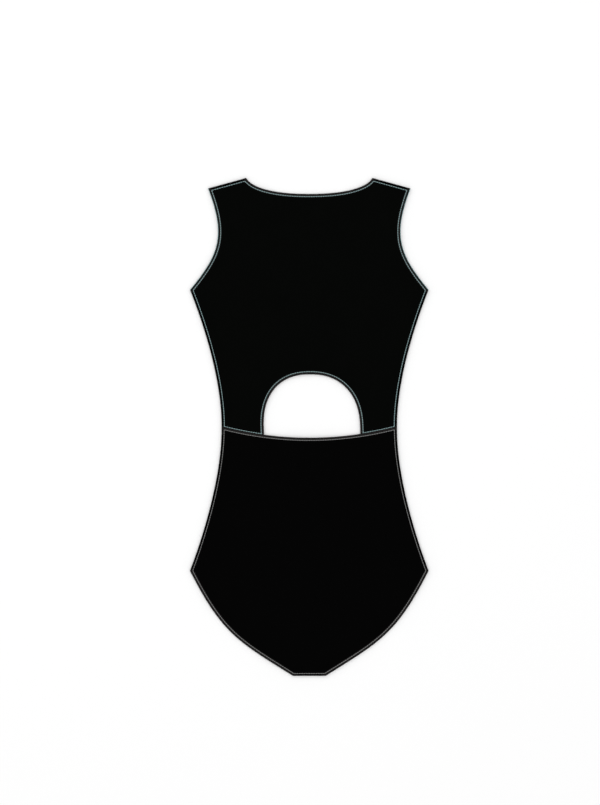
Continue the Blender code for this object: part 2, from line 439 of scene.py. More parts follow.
def underside(layer, points):
    """Height of a layer's lower face: the front lies on its stitches, the back lies on the front."""
    if layer == "front":
        return np.full(len(points), STITCH_SHOWS["cloth"])
    on_front = share_on_front(points)
    lying = STITCH_SHOWS["cloth"] * (1.0 - on_front) + (CLOTH + TOUCH) * on_front
    found = distances_to(layer, points, BOUND_NAMES + SEWN_NAMES)
    from_edge = np.min([distance for distance, _ in found.values()], axis=0)
    from_seam = np.min([found[name][0] for name in SEWN_NAMES], axis=0)
    wave = np.zeros(len(points))
    for name in BOUND_NAMES:
        distance, along = found[name]
        near = 1.0 - smooth(distance, BINDING_WIDTH, EDGE_WAVE_REACH)
        wave = np.maximum(wave, crests(points, along, EDGE_WAVE_LENGTH) * near)
    lifted = EDGE_WAVE * wave * smooth(from_seam, *CLEAR_OF_SEAM)
    return lying + lifted + FULLNESS * smooth(from_edge, 0.0, FULL_FROM_EDGE)


probe = np.array([[0.0, 30.0], [0.0, 150.0], [100.0, 300.0]])
print("underside of the back at three points:", underside("back", probe).round(2))

# %% [markdown]
# Plain seams hold a folded allowance inside, so a low welt runs along them. Thread draws the cloth
# into faint puckers beside a stitch line, and loose jersey lies in low, soft swells. They raise
# the upper face alone, which keeps the lower face clear of what the panel lies on.

# %% Relief of the upper face
WELT = 0.3
WELT_WIDTH = 5.5
WELT_SLOPE = 1.2
PUCKER = 0.22
PUCKER_LENGTH = 9.5
PUCKER_START = 4.5
PUCKER_SLOPE = 2.0
PUCKER_FADE = 9.0
PUCKER_DRIFT = 61.0
PUCKER_LEAST = 0.1
SWELLS_INLAND = (6.0, 30.0)

# Low, soft swells where the jersey lies a little loose
Swell = namedtuple("Swell", "x depth turn length width height")
SWELLS = (
    Swell(x=-70.0, depth=150.0, turn=62.0, length=90.0, width=10.0, height=0.9),
    Swell(x=58.0, depth=122.0, turn=115.0, length=80.0, width=9.0, height=0.75),
    Swell(x=88.0, depth=228.0, turn=76.0, length=60.0, width=8.0, height=0.8),
    Swell(x=-92.0, depth=285.0, turn=97.0, length=50.0, width=7.0, height=0.6),
    Swell(x=8.0, depth=214.0, turn=5.0, length=80.0, width=11.0, height=0.7),
    Swell(x=-18.0, depth=76.0, turn=7.0, length=86.0, width=10.0, height=0.55),
    Swell(x=-58.0, depth=430.0, turn=104.0, length=92.0, width=10.0, height=0.8),
    Swell(x=74.0, depth=456.0, turn=68.0, length=84.0, width=10.0, height=0.9),
    Swell(x=-20.0, depth=568.0, turn=27.0, length=70.0, width=11.0, height=0.65),
    Swell(x=40.0, depth=602.0, turn=146.0, length=56.0, width=9.0, height=0.55),
    Swell(x=4.0, depth=398.0, turn=3.0, length=90.0, width=9.0, height=0.55),
)


def relief(layer, points):
    """What the upper face rises above an even wall: welts, puckers and swells."""
    found = distances_to(layer, points, BOUND_NAMES + SEWN_NAMES)
    from_seam = np.min([found[name][0] for name in SEWN_NAMES], axis=0)
    rise = WELT * (1.0 - smooth(from_seam, WELT_WIDTH, WELT_WIDTH + WELT_SLOPE))
    from_edge = np.full(len(points), LENGTH)
    for distance, along in found.values():
        wave = crests(points, along, PUCKER_LENGTH)
        drift = PUCKER_LEAST + (1.0 - PUCKER_LEAST) * crests(points, along, PUCKER_DRIFT)
        start = smooth(distance, PUCKER_START, PUCKER_START + PUCKER_SLOPE)
        fade = np.exp(-np.maximum(distance - PUCKER_START, 0.0) / PUCKER_FADE)
        rise = rise + PUCKER * wave * drift * start * fade
        from_edge = np.minimum(from_edge, distance)
    inland = smooth(from_edge, *SWELLS_INLAND)
    for swell in SWELLS:
        turn = math.radians(swell.turn)
        offset = points - (swell.x, swell.depth)
        along = offset @ (math.cos(turn), math.sin(turn))
        across = offset @ (-math.sin(turn), math.cos(turn))
        shape = np.exp(-((along / swell.length) ** 2) - (across / swell.width) ** 2)
        rise = rise + swell.height * shape * inland
    return rise


print("relief at the same points:", relief("back", probe).round(2))

# %% [markdown]
# A finish is a small tree of shader nodes, and the same few moves come back in all of them. Each
# move is a helper: arithmetic on sockets, a piece's own map in millimetres, fine noise, two tones
# of colour that mix random tone with painted shade and painted highlight, relief, and the four
# values that say how cloth takes the light.


# %% Small helpers for materials
def new_material(name):
    material = bpy.data.materials.new(name)
    material.use_nodes = True
    return material, material.node_tree, material.node_tree.nodes["Principled BSDF"]


def maths(tree, operation, *values):
    """A Math node. Each value is a number, or the socket that feeds it."""
    node = tree.nodes.new("ShaderNodeMath")
    node.operation = operation
    for socket, value in zip(node.inputs, values):
        if isinstance(value, bpy.types.NodeSocket):
            tree.links.new(value, socket)
        else:
            socket.default_value = value
    return node.outputs[0]


def wave_nodes(tree, turns):
    """A smooth wave from 0 to 1, once in every whole turn."""
    sine = maths(tree, "SINE", maths(tree, "MULTIPLY", turns, 2 * math.pi))
    return maths(tree, "MULTIPLY_ADD", sine, 0.5, 0.5)


def from_map(tree, map_name, size=LENGTH):
    """Both coordinates of a piece's own map, in millimetres where the whole map has that size."""
    uv = tree.nodes.new("ShaderNodeUVMap")
    uv.uv_map = map_name
    split = tree.nodes.new("ShaderNodeSeparateXYZ")
    tree.links.new(uv.outputs["UV"], split.inputs["Vector"])
    return [maths(tree, "MULTIPLY", split.outputs[axis], size) for axis in ("X", "Y")]


def speckle(tree, scale, detail):
    """Fine noise in the object's own space, from 0 to 1."""
    place = tree.nodes.new("ShaderNodeTexCoord")
    noise = tree.nodes.new("ShaderNodeTexNoise")
    noise.inputs["Scale"].default_value = scale
    noise.inputs["Detail"].default_value = detail
    tree.links.new(place.outputs["Object"], noise.inputs["Vector"])
    return noise.outputs["Fac"]


# Two colours mixed by a share: random tone, and painted shade and painted highlight where the share follows
# a bump
def two_tones(tree, shader, share, low, high):
    ramp = tree.nodes.new("ShaderNodeValToRGB")
    ramp.color_ramp.elements[0].color = (*low, 1.0)
    ramp.color_ramp.elements[1].color = (*high, 1.0)
    tree.links.new(share, ramp.inputs["Fac"])
    tree.links.new(ramp.outputs["Color"], shader.inputs["Base Color"])


def raise_surface(tree, shader, height, strength, distance_mm):
    bump = tree.nodes.new("ShaderNodeBump")
    bump.inputs["Strength"].default_value = strength
    bump.inputs["Distance"].default_value = distance_mm * MM
    tree.links.new(height, bump.inputs["Height"])
    tree.links.new(bump.outputs["Normal"], shader.inputs["Normal"])


def cloth_finish(shader, roughness, shine, sheen, sheen_roughness):
    shader.inputs["Roughness"].default_value = roughness
    shader.inputs["Specular IOR Level"].default_value = shine
    shader.inputs["Sheen Weight"].default_value = sheen
    shader.inputs["Sheen Roughness"].default_value = sheen_roughness


print("helpers for materials are ready")

# %% [markdown]
# Jersey is knitted: columns of small V-shaped loops run down the cloth. The columns are drawn
# here from the cut's own map, so that they follow each panel as the knit does. Two waves, one
# across the columns and one up them, give the loops as a bump, and the colour is painted darker
# between them, as painted shade in the grooves; fine noise adds a tone that differs at random.
# A low, rough sheen stands for the nap, and there is almost no shine.

# %% Jersey
WALE = 0.85
COURSE = 0.65
LEG_OF_LOOP = 0.27
GROOVE = 3.2
KNIT_SHADE_SHARE = 0.6
FUZZ = 0.35


def jersey(name, shaded, lit, sheen):
    material, tree, shader = new_material(name)
    across, down = from_map(tree, "cut")
    wale = maths(tree, "FRACT", maths(tree, "DIVIDE", across, WALE))
    from_rib = maths(tree, "ABSOLUTE", maths(tree, "SUBTRACT", wale, 0.5))
    loop = wave_nodes(tree, maths(tree, "ADD", maths(tree, "DIVIDE", down, COURSE), from_rib))
    from_leg = maths(tree, "ABSOLUTE", maths(tree, "SUBTRACT", from_rib, LEG_OF_LOOP))
    rib = maths(tree, "SUBTRACT", 1.0, maths(tree, "MULTIPLY", from_leg, GROOVE))
    knit = maths(tree, "MULTIPLY", loop, rib)
    uneven = maths(tree, "MULTIPLY", speckle(tree, scale=26.0, detail=3.0), 1.0 - KNIT_SHADE_SHARE)
    # The colour mixes painted shade between the loops with a little random tone from the noise
    share = maths(tree, "MULTIPLY_ADD", knit, KNIT_SHADE_SHARE, uneven)
    two_tones(tree, shader, share, shaded, lit)
    fuzz = speckle(tree, scale=2600.0, detail=1.0)
    height = maths(tree, "MULTIPLY_ADD", fuzz, FUZZ, knit)
    raise_surface(tree, shader, height, strength=0.9, distance_mm=0.18)
    cloth_finish(shader, roughness=0.7, shine=0.02, sheen=sheen, sheen_roughness=0.28)
    return material


# Each jersey goes from its shaded colour, painted shade between the loops, to its lit colour on their tops
JERSEYS = {
    "bodice": jersey("bodice_jersey_knit", (0.0003, 0.0005, 0.0003), (0.0013, 0.0017, 0.0013), sheen=0.22),
    "brief": jersey("brief_jersey_knit", (0.0001, 0.0001, 0.0001), (0.0006, 0.0006, 0.0006), sheen=0.18),
}
print("jersey:", WALE, "mm wales and", COURSE, "mm courses")

# %% [markdown]
# The binding is a folded elastic. It is woven, not knitted: ribs run along it and fine picks
# cross them. Its black is a little browner and lighter than the jersey's, and the ribs and picks
# are painted darker in their grooves, as painted shade. The map of a strip runs along it and
# across it, so that the ribs bend with every curve of the edge.

# %% Elastic and thread
RIB = 0.9
PICK = 0.6
PLIES = 7.0


def elastic(name, shaded, lit):
    material, tree, shader = new_material(name)
    along, across = from_map(tree, "strip")
    ribs = maths(tree, "SINE", maths(tree, "MULTIPLY", across, 2 * math.pi / RIB))
    picks = maths(tree, "SINE", maths(tree, "MULTIPLY", along, 2 * math.pi / PICK))
    weave = maths(tree, "MULTIPLY_ADD", maths(tree, "MULTIPLY", ribs, picks), 0.25, 0.5)
    weave = maths(tree, "MULTIPLY_ADD", ribs, 0.25, weave)
    uneven = speckle(tree, scale=60.0, detail=2.0)
    # The colour follows the weave's bump: painted shade in the grooves, with random tone from the noise
    two_tones(tree, shader, maths(tree, "MULTIPLY", weave, uneven), shaded, lit)
    raise_surface(tree, shader, weave, strength=0.9, distance_mm=0.16)
    cloth_finish(shader, roughness=0.6, shine=0.16, sheen=0.06, sheen_roughness=0.35)
    return material


def thread(name, shaded, lit):
    """Sewing thread: its plies wind round it as a bump, and each turn is also painted lighter, as a painted
    highlight.
    """
    material, tree, shader = new_material(name)
    around, along = from_map(tree, "twist", 1.0)
    plies = wave_nodes(tree, maths(tree, "MULTIPLY_ADD", along, PLIES, around))
    # The colour is painted lighter on each ply's turn, a painted highlight
    two_tones(tree, shader, maths(tree, "MULTIPLY_ADD", plies, 0.5, 0.3), shaded, lit)
    raise_surface(tree, shader, plies, strength=0.5, distance_mm=0.08)
    cloth_finish(shader, roughness=0.5, shine=0.35, sheen=0.1, sheen_roughness=0.3)
    return material


ELASTIC = elastic("folded_elastic", (0.0016, 0.0009, 0.0007), (0.0075, 0.0054, 0.0045))
THREADS = {
    "bodice": thread("bluish_grey_thread", (0.155, 0.232, 0.237), (0.31, 0.447, 0.456)),
    "brief": thread("grey_thread", (0.12, 0.12, 0.118), (0.24, 0.24, 0.236)),
}
EDGE_THREAD = thread("teal_edge_thread", (0.03, 0.15, 0.155), (0.075, 0.31, 0.32))
print("elastic and three threads are mixed")

# %% [markdown]
# A panel is a ladder: two edges of the cut face each other, and rows of cloth run between
# them. Columns crowd together towards the edges, where the puckers are. One half is laid
# out and mirrored, and its points are merged on the centre line.


# %% From a ladder to a mesh
CROWDING = 0.6
MERGE = 1e-7


def crowded(columns):
    share = np.linspace(0.0, 1.0, columns + 1)
    return share - CROWDING * np.sin(2 * math.pi * share) / (2 * math.pi)


def ladder(inner, outer, columns):
    """Rows of points from inner[i] to outer[i], as an array of rows, columns and 2."""
    share = crowded(columns)[None, :, None]
    return inner[:, None, :] * (1.0 - share) + outer[:, None, :] * share


def quads(rows, columns, first=0):
    faces = []
    for row in range(rows):
        for column in range(columns):
            corner = first + row * (columns + 1) + column
            faces.append((corner, corner + 1, corner + columns + 2, corner + columns + 1))
    return faces


def both_halves(grid, layer):
    """A mesh of a half grid and its mirror image, joined on the centre line and facing up."""
    rows, columns = grid.shape[0] - 1, grid.shape[1] - 1
    half = grid.reshape(-1, 2)
    points = np.vstack([half, half * (-1.0, 1.0)])
    faces = quads(rows, columns) + quads(rows, columns, first=len(half))
    mesh = bpy.data.meshes.new("panel")
    mesh.from_pydata(placed(points, underside(layer, points)).tolist(), [], faces)
    work = bmesh.new()
    work.from_mesh(mesh)
    bmesh.ops.remove_doubles(work, verts=work.verts, dist=MERGE)
    bmesh.ops.recalc_face_normals(work, faces=work.faces)
    if sum(face.normal.z for face in work.faces) < 0:
        bmesh.ops.reverse_faces(work, faces=work.faces)
    work.to_mesh(mesh)
    work.free()
    return mesh


print("a ladder of 4 columns has them at", crowded(4).round(3))

# %% [markdown]
# Cloth has a thickness and a soft rim. Solidify gives the wall and Bevel rounds its rim, and both
# are worked into the mesh before the relief, because only points of the upper face are raised.

# %% Give a panel its wall
RIM_ROUND = 0.45
RIM_ANGLE = math.radians(50.0)


def settled(piece):
    """The piece with its modifiers worked into a plain mesh."""
    graph = bpy.context.evaluated_depsgraph_get()
    mesh = bpy.data.meshes.new_from_object(piece.evaluated_get(graph), depsgraph=graph)
    mesh.name = piece.name
    piece.modifiers.clear()
    piece.data = mesh
    return piece


def draw_map(mesh, name, pairs):
    """A map with a pair of numbers for each point of the mesh."""
    corners = np.empty(len(mesh.loops), dtype=np.int32)
    mesh.loops.foreach_get("vertex_index", corners)
    layer = mesh.uv_layers.new(name=name)
    layer.uv.foreach_set("vector", pairs[corners].astype(np.float32).ravel())


def panel(name, layer, grid, material):
    piece = in_scene(name, both_halves(grid, layer))
    wall = piece.modifiers.new("wall", "SOLIDIFY")
    wall.thickness = (CLOTH - (STITCH_SHOWS["cloth"] if layer == "front" else 0.0)) * MM
    wall.offset = 1.0
    rim = piece.modifiers.new("rim", "BEVEL")
    rim.width = RIM_ROUND * MM
    rim.segments = 3
    rim.limit_method = "ANGLE"
    rim.angle_limit = RIM_ANGLE
    settled(piece)
    points, heights = cut_points(piece.data)
    if layer == "back":
        share = np.clip((heights - underside(layer, points)) / CLOTH, 0.0, 1.0)
        heights = heights + share * relief(layer, points)
        piece.data.vertices.foreach_set("co", placed(points, heights).ravel())
    # Height is added to both coordinates, so that the knit turns down over a rim and isn't smeared
    draw_map(piece.data, "cut", (points + heights[:, None]) * (1.0, -1.0) / LENGTH + (0.5, 1.0))
    lay(piece.data)
    piece.data.shade_smooth()
    piece.data.materials.append(material)
    print(f"{name}: {len(piece.data.polygons)} faces, up to {heights.max():.2f} mm high")
    return piece


# %% [markdown]
# The bodice's ladder stands on the centre line, with the neck and the arch at its ends, and reaches
# the armhole and the side. The brief's reaches the side and the leg. Panels stop under the
# elastic. The front has no relief, so it does with fewer rows and columns.

# %% Lay out the bodice and the brief
TUCK = 0.6
PANEL_INSET = BINDING_WIDTH - TUCK
NECK_ROWS = 40
CENTRE_ROWS = 60
ARCH_ROWS = 60
ARMHOLE_ROWS = 64
HIP_ROWS = 80
LEG_ROWS = 84
COLUMNS = {"back": 38, "front": 14}
SHARE_OF_ROWS = {"back": 1.0, "front": 0.4}


def bodice_grid(layer):
    edges = EDGES[layer]
    share = SHARE_OF_ROWS[layer]
    neck_rows, centre_rows, arch_rows, armhole_rows = (
        round(rows * share) for rows in (NECK_ROWS, CENTRE_ROWS, ARCH_ROWS, ARMHOLE_ROWS)
    )
    shoulder = direction(edges["shoulder"], 0)
    side_way = direction(edges["side_upper"], 0)
    waist = direction(waist_line(ARCH_HALF, WAIST_HALF), 0)
    neck = evenly(inset(edges["neck"], PANEL_INSET, end_way=shoulder), neck_rows)
    arch = evenly(inset(evenly(edges["arch"], DENSE), PANEL_INSET, start_way=waist), arch_rows)
    armhole = inset(edges["armhole"], PANEL_INSET, start_way=-shoulder, end_way=side_way)
    armhole = evenly(armhole, armhole_rows)
    side = cubic(SIDE_UPPER._replace(start=armhole[-1]))
    side = evenly(side, neck_rows + centre_rows + arch_rows - armhole_rows)
    centre = np.linspace(neck[0], arch[-1], centre_rows + 1)[1:-1]
    inner = np.vstack([neck[::-1], centre, arch[::-1]])
    outer = np.vstack([armhole, side[1:]])
    return bend_to_waist(ladder(inner, outer, COLUMNS[layer]), last=True)


def brief_grid(layer):
    edges = EDGES[layer]
    share = SHARE_OF_ROWS[layer]
    hip_way = direction(edges["side_lower"], -1)
    leg = inset(edges["leg"], PANEL_INSET, start_way=hip_way, end_way=(-1.0, 0.0))
    leg = evenly(leg, round(LEG_ROWS * share))
    side = evenly(cubic(SIDE_LOWER._replace(end=leg[0])), round(HIP_ROWS * share))
    outer = np.vstack([side, leg[1:]])
    centre = np.linspace((0.0, WAIST_CENTRE_DEPTH + WAIST_BAND), (0.0, LENGTH), len(outer))
    return bend_to_waist(ladder(centre, outer, COLUMNS[layer]), last=False, below=WAIST_BAND)


def bend_to_waist(grid, last, below=0.0):
    """Bends a grid's last or first row onto the waist seam, and the other rows less and less."""
    rows = len(grid) - 1
    seam_row = grid[rows if last else 0]
    seam = waist_depth(seam_row[:, 0]) + below
    share = np.linspace(0.0, 1.0, rows + 1) if last else np.linspace(1.0, 0.0, rows + 1)
    grid[:, :, 1] += share[:, None] * (seam - seam_row[:, 1])[None, :]
    return grid


back_grid = bodice_grid("back")
print("the back bodice's ladder has", len(back_grid), "rows for each half")

# %% [markdown]
# The front is laid first, and the back on it. The functions that lay out the ladders are listed
# by name, because a ladder is laid out again at the end.

# %% Lay the four panels
GRIDS = {"bodice": bodice_grid, "brief": brief_grid}
CLOTHS = {}
for layer_name in ("front", "back"):
    for part, part_grid in GRIDS.items():
        name = f"{layer_name}_{part}_cloth"
        CLOTHS[layer_name, part] = panel(name, layer_name, part_grid(layer_name), JERSEYS[part])

# %% [markdown]
# Folded elastic wraps each raw edge. Its section is a rounded oblong, because a fold is never
# sharp. It is drawn as a superellipse, which is an ellipse with fuller corners. Faces join each
# section to the next, and one face closes each end.

# %% The elastic's section
SECTION_POINTS = 20
SECTION_POWER = 3.6


def section(width, wall):
    """A rounded oblong, as shares of the width across it and as heights."""
    turn = np.linspace(0.0, 2 * math.pi, SECTION_POINTS, endpoint=False)
    across = np.sign(np.cos(turn)) * np.abs(np.cos(turn)) ** (2 / SECTION_POWER)
    up = np.sign(np.sin(turn)) * np.abs(np.sin(turn)) ** (2 / SECTION_POWER)
    return 0.5 + 0.5 * across, wall * (0.5 + 0.5 * up)


def tube_faces(steps):
    """Faces round a tube of that many sections, and one to close each end."""
    faces = []
    for first in range(0, (steps - 1) * SECTION_POINTS, SECTION_POINTS):
        for corner in range(SECTION_POINTS):
            a, b = first + corner, first + (corner + 1) % SECTION_POINTS
            faces.append((a, b, b + SECTION_POINTS, a + SECTION_POINTS))
    faces.append(tuple(range(SECTION_POINTS)))
    faces.append(tuple((steps - 1) * SECTION_POINTS + corner for corner in range(SECTION_POINTS)))
    return faces


print("the elastic's section has", SECTION_POINTS, "points")

# %% [markdown]
# The section is swept along the edge as another ladder, from the edge to the same line moved
# inwards. The sweep is done on the mesh and not with a curve's bevel, because each strip must end
# on a slant, along the seam that closes it. A faint ripple shows where the stitches draw it in.

# %% Sweep a strip
STRIP_STEP = 1.5
RIPPLE = 0.045
RIPPLE_LENGTH = 8.7
END_ANGLE = math.radians(60.0)


def strip(name, layer, outer, inner, width):
    """Elastic between two lines of points, which may both run on across the centre line."""
    lift = STITCH_SHOWS["binding"] if layer == "front" else 0.0
    across, up = section(width, BINDING_WALL[layer] - lift)
    steps = len(outer)
    points = outer[:, None, :] * (1.0 - across[:, None]) + inner[:, None, :] * across[:, None]
    reach = reach_along(outer)
    ripple = 1.0 + RIPPLE * np.sin(2 * math.pi * reach / RIPPLE_LENGTH)
    flat = points.reshape(-1, 2)
    base = np.full(len(flat), lift) if layer == "front" else underside(layer, flat)
    heights = base.reshape(steps, -1) + up[None, :] * ripple[:, None]
    mesh = bpy.data.meshes.new(name)
    mesh.from_pydata(placed(flat, heights.ravel()).tolist(), [], tube_faces(steps))
    work = bmesh.new()
    work.from_mesh(mesh)
    bmesh.ops.recalc_face_normals(work, faces=work.faces)
    work.to_mesh(mesh)
    work.free()
    shares = np.column_stack([np.repeat(reach, SECTION_POINTS), np.tile(across * width, steps)])
    draw_map(mesh, "strip", shares / LENGTH)
    lay(mesh)
    mesh.shade_smooth()
    mesh.set_sharp_from_angle(angle=END_ANGLE)
    mesh.materials.append(ELASTIC)
    return in_scene(name, mesh)


print("a strip has a section every", STRIP_STEP, "mm")

# %% [markdown]
# Each bound edge runs from seam to seam. The neck and the arch cross the centre line in one piece,
# and the armholes and legs come as a right and a left. The band over the waist seam is a strip too.


# %% Bind the edges
def mirrored(line):
    return line * (-1.0, 1.0)


def across_centre(line):
    """A half line that starts or ends on the centre, run on over the other half."""
    half = line if abs(line[0, 0]) < MM else line[::-1]
    return np.vstack([mirrored(half)[:0:-1], half])


def bound_edges(layer):
    """Each bound edge of the half with the ways along the seams that it ends on."""
    edges = EDGES[layer]
    shoulder = direction(edges["shoulder"], 0)
    waist = direction(waist_line(ARCH_HALF, WAIST_HALF), 0)
    hip_way = direction(edges["side_lower"], -1)
    return {
        "neck": (edges["neck"], None, shoulder),
        "arch": (edges["arch"], waist, None),
        "armhole": (edges["armhole"], -shoulder, direction(edges["side_upper"], 0)),
        "leg": (edges["leg"], hip_way, (-1.0, 0.0)),
    }


BINDINGS = {}
for layer_name in ("front", "back"):
    for edge_name, (edge_line, start_way, end_way) in bound_edges(layer_name).items():
        outer_line = evenly(edge_line, round(length_of(edge_line) / STRIP_STEP))
        inner_line = inset(outer_line, BINDING_WIDTH, start_way, end_way)
        if edge_name in ("neck", "arch"):
            lines = {"": (across_centre(outer_line), across_centre(inner_line))}
        else:
            lines = {
                "_right": (outer_line, inner_line),
                "_left": (mirrored(outer_line), mirrored(inner_line)),
            }
        for hand, (outer_line, inner_line) in lines.items():
            node = f"{layer_name}_{edge_name}_binding{hand}"
            BINDINGS[node] = strip(f"{node}_elastic", layer_name, outer_line, inner_line, BINDING_WIDTH)
    band_top = evenly(waist_line(-WAIST_HALF, WAIST_HALF), round(2 * WAIST_HALF / STRIP_STEP))
    band_foot = band_top + (0.0, WAIST_BAND)
    node = f"{layer_name}_waist_band"
    BINDINGS[node] = strip(f"{node}_elastic", layer_name, band_top, band_foot, WAIST_BAND)
print(len(BINDINGS), "strips of elastic")

# %% [markdown]
# The line inside every edge is a row of machine stitches. Each panel has its own thread, and its
# line goes all the way round it: over the bindings, along the welts, and above the waist band or
# on its foot. Where two edges meet, the lines meet too, at the one point that lies at the right
# distance from both. These paths are meshes of edges alone, which Geometry Nodes turn into stitches.

# %% Stitch lines
LINE_INSET = {
    "neck": 3.7,
    "shoulder": 3.9,
    "armhole": 3.6,
    "side_upper": 3.8,
    "arch": 3.7,
    "side_lower": 3.5,
    "leg": 3.5,
    "crotch": 3.2,
}
ABOVE_BAND = 0.9
ON_BAND = 3.6
THREAD_WIDTH = 0.92
THREAD_HEIGHT = 0.62


def corner_way(before, before_inset, after, after_inset):
    """From a corner of the cut to the point where the two stitch lines meet."""
    normals = np.array([inwards(before)[-1], inwards(after)[0]])
    return np.linalg.solve(normals, (before_inset, after_inset))


def stitch_runs(loop):
    """The stitch line beside each edge of a half panel. A loop lists edges with their insets."""
    runs = []
    for place, (line, width) in enumerate(loop):
        start_way = end_way = None
        if place > 0:
            start_way = corner_way(*loop[place - 1], line, width)
        if place < len(loop) - 1:
            end_way = corner_way(line, width, *loop[place + 1])
        runs.append(inset(evenly(line, DENSE), width, start_way, end_way))
    return runs


def named_runs(layer, part):
    """Each edge of a half panel with the stitch line beside it."""
    edges = EDGES[layer]
    if part == "bodice":
        names = ("neck", "shoulder", "armhole", "side_upper", "waist", "arch")
        waist = (waist_line(WAIST_HALF, ARCH_HALF), ABOVE_BAND)
    else:
        names = ("waist", "side_lower", "leg", "crotch")
        waist = (waist_line(0.0, WAIST_HALF), ON_BAND)
        # The brief's line starts on the band, so its side is followed from the seam above the band
        edges = {**edges, "side_lower": np.vstack([waist[0][-1:], edges["side_lower"]])}
    loop = [waist if name == "waist" else (edges[name], LINE_INSET[name]) for name in names]
    return zip(names, stitch_runs(loop))


def panel_runs(layer, part):
    """The stitch lines of a whole panel: across the centre line, or one on each side of it."""
    runs = []
    for _, run in named_runs(layer, part):
        if abs(run[0, 0]) < MM or abs(run[-1, 0]) < MM:
            runs.append(across_centre(run))
        else:
            runs += [run, mirrored(run)]
    return runs


print("the back bodice is sewn with", len(panel_runs("back", "bodice")), "runs of stitches")

# %% [markdown]
# A stitch on the back is sewn through whatever is on top there: elastic near a bound edge and on
# the waist band, or the raised jersey. The thread has to lie at that height to be seen whole.


# %% Height of what is sewn through
def upper_face(layer, points):
    """Height of what a stitch on top is sewn through: elastic near a bound edge, or jersey."""
    half = halved(points)
    found = distances_to(layer, points, BOUND_NAMES)
    on_elastic = np.min([distance for distance, _ in found.values()], axis=0) < BINDING_WIDTH
    band = waist_depth(half[:, 0])
    on_elastic |= (half[:, 1] > band) & (half[:, 1] < band + WAIST_BAND)
    jersey_top = CLOTH + relief(layer, points)
    wall = np.where(on_elastic, BINDING_WALL[layer], jersey_top)
    return underside(layer, points) + wall


print("upper face of the back at three points:", upper_face("back", probe).round(2))

# %% [markdown]
# The armholes have a second, finer row at their very edge, in a stronger teal. It holds the fold
# of the elastic, and from above it shows as a thin line of colour outside the black. Its height
# comes from the strip's own section, at the distance from the edge where the row is sewn.

# %% The row at the armholes' edge
EDGE_INSET = 0.2
EDGE_THREAD_WIDTH = 0.56


def edge_runs(layer):
    line, start_way, end_way = bound_edges(layer)["armhole"]
    run = inset(evenly(line, DENSE), EDGE_INSET, start_way, end_way)
    return [run, mirrored(run)]


def rim_height(layer, points):
    """Height of the elastic's upper face where the edge row is sewn through its rounded rim."""
    across = 1.0 - 2 * EDGE_INSET / BINDING_WIDTH
    up = (1.0 - across**SECTION_POWER) ** (1 / SECTION_POWER)
    return underside(layer, points) + BINDING_WALL[layer] * (0.5 + 0.5 * up)


print("each armhole's edge row is", round(length_of(edge_runs("back")[0])), "mm long")

# %% [markdown]
# One tree of Geometry Nodes sews every line, and takes its measures as named inputs. Stitches could
# be copied one by one in Python, but nodes do it in one go and can be tried out in the editor. The
# tree is long, so it is built in parts. First comes a helper that makes a node and feeds it.


# %% Make a node and feed it
def add_node(tree, kind, fed, **settings):
    """A node with its settings. Each input named in fed takes a number, or the socket that feeds it."""
    node = tree.nodes.new(kind)
    for title, value in settings.items():
        setattr(node, title, value)
    for key, value in fed.items():
        if isinstance(value, bpy.types.NodeSocket):
            tree.links.new(value, node.inputs[key])
        else:
            node.inputs[key].default_value = value
    return node.outputs


SEWING_INPUTS = {
    "Paths": "Geometry",
    "Stitch Step": "Float",
    "Stitch Length": "Float",
    "Thread Width": "Float",
    "Thread Height": "Float",
    "Dip": "Float",
    "Unevenness": "Float",
    "Seed": "Int",
    "Thread": "Material",
}
print("the sewing tree takes", len(SEWING_INPUTS), "inputs")

# %% [markdown]
# A path loses half a stitch at each end, so that no stitch runs out past a corner. The rest is
# divided evenly, and a point stands for each stitch.

# %% Points along a path
STITCH_STEP = 3.2

# Trim Curve has Start and End twice, as shares and then as lengths: these are the lengths
START_LENGTH, END_LENGTH = 4, 5


def spaced_points(tree, given):
    """The paths as curves, half a stitch shorter at each end, with a point for every stitch."""
    curve = add_node(tree, "GeometryNodeMeshToCurve", {"Mesh": given["Paths"]})[0]
    half_step = maths(tree, "MULTIPLY", given["Stitch Step"], 0.5)
    length = add_node(tree, "GeometryNodeSplineLength", {})["Length"]
    ends = {START_LENGTH: half_step, END_LENGTH: maths(tree, "SUBTRACT", length, half_step)}
    trimmed = add_node(tree, "GeometryNodeTrimCurve", {"Curve": curve, **ends}, mode="LENGTH")[0]
    steps = {"Curve": trimmed, "Length": given["Stitch Step"]}
    return add_node(tree, "GeometryNodeResampleCurve", steps, mode="LENGTH")[0]


print("the back's neck takes", round(2 * length_of(EDGES["back"]["neck"]) / STITCH_STEP), "stitches")

# %% [markdown]
# A stitch that is pulled tight is a full oval, and its ends bend into the cloth. It starts as a
# sphere with few faces, because a garment has so many stitches. Its map is kept under a name, so
# that the plies of the thread can wind round it.

# %% One stitch
SEGMENTS = 8
RINGS = 6
FULLER = 1.1


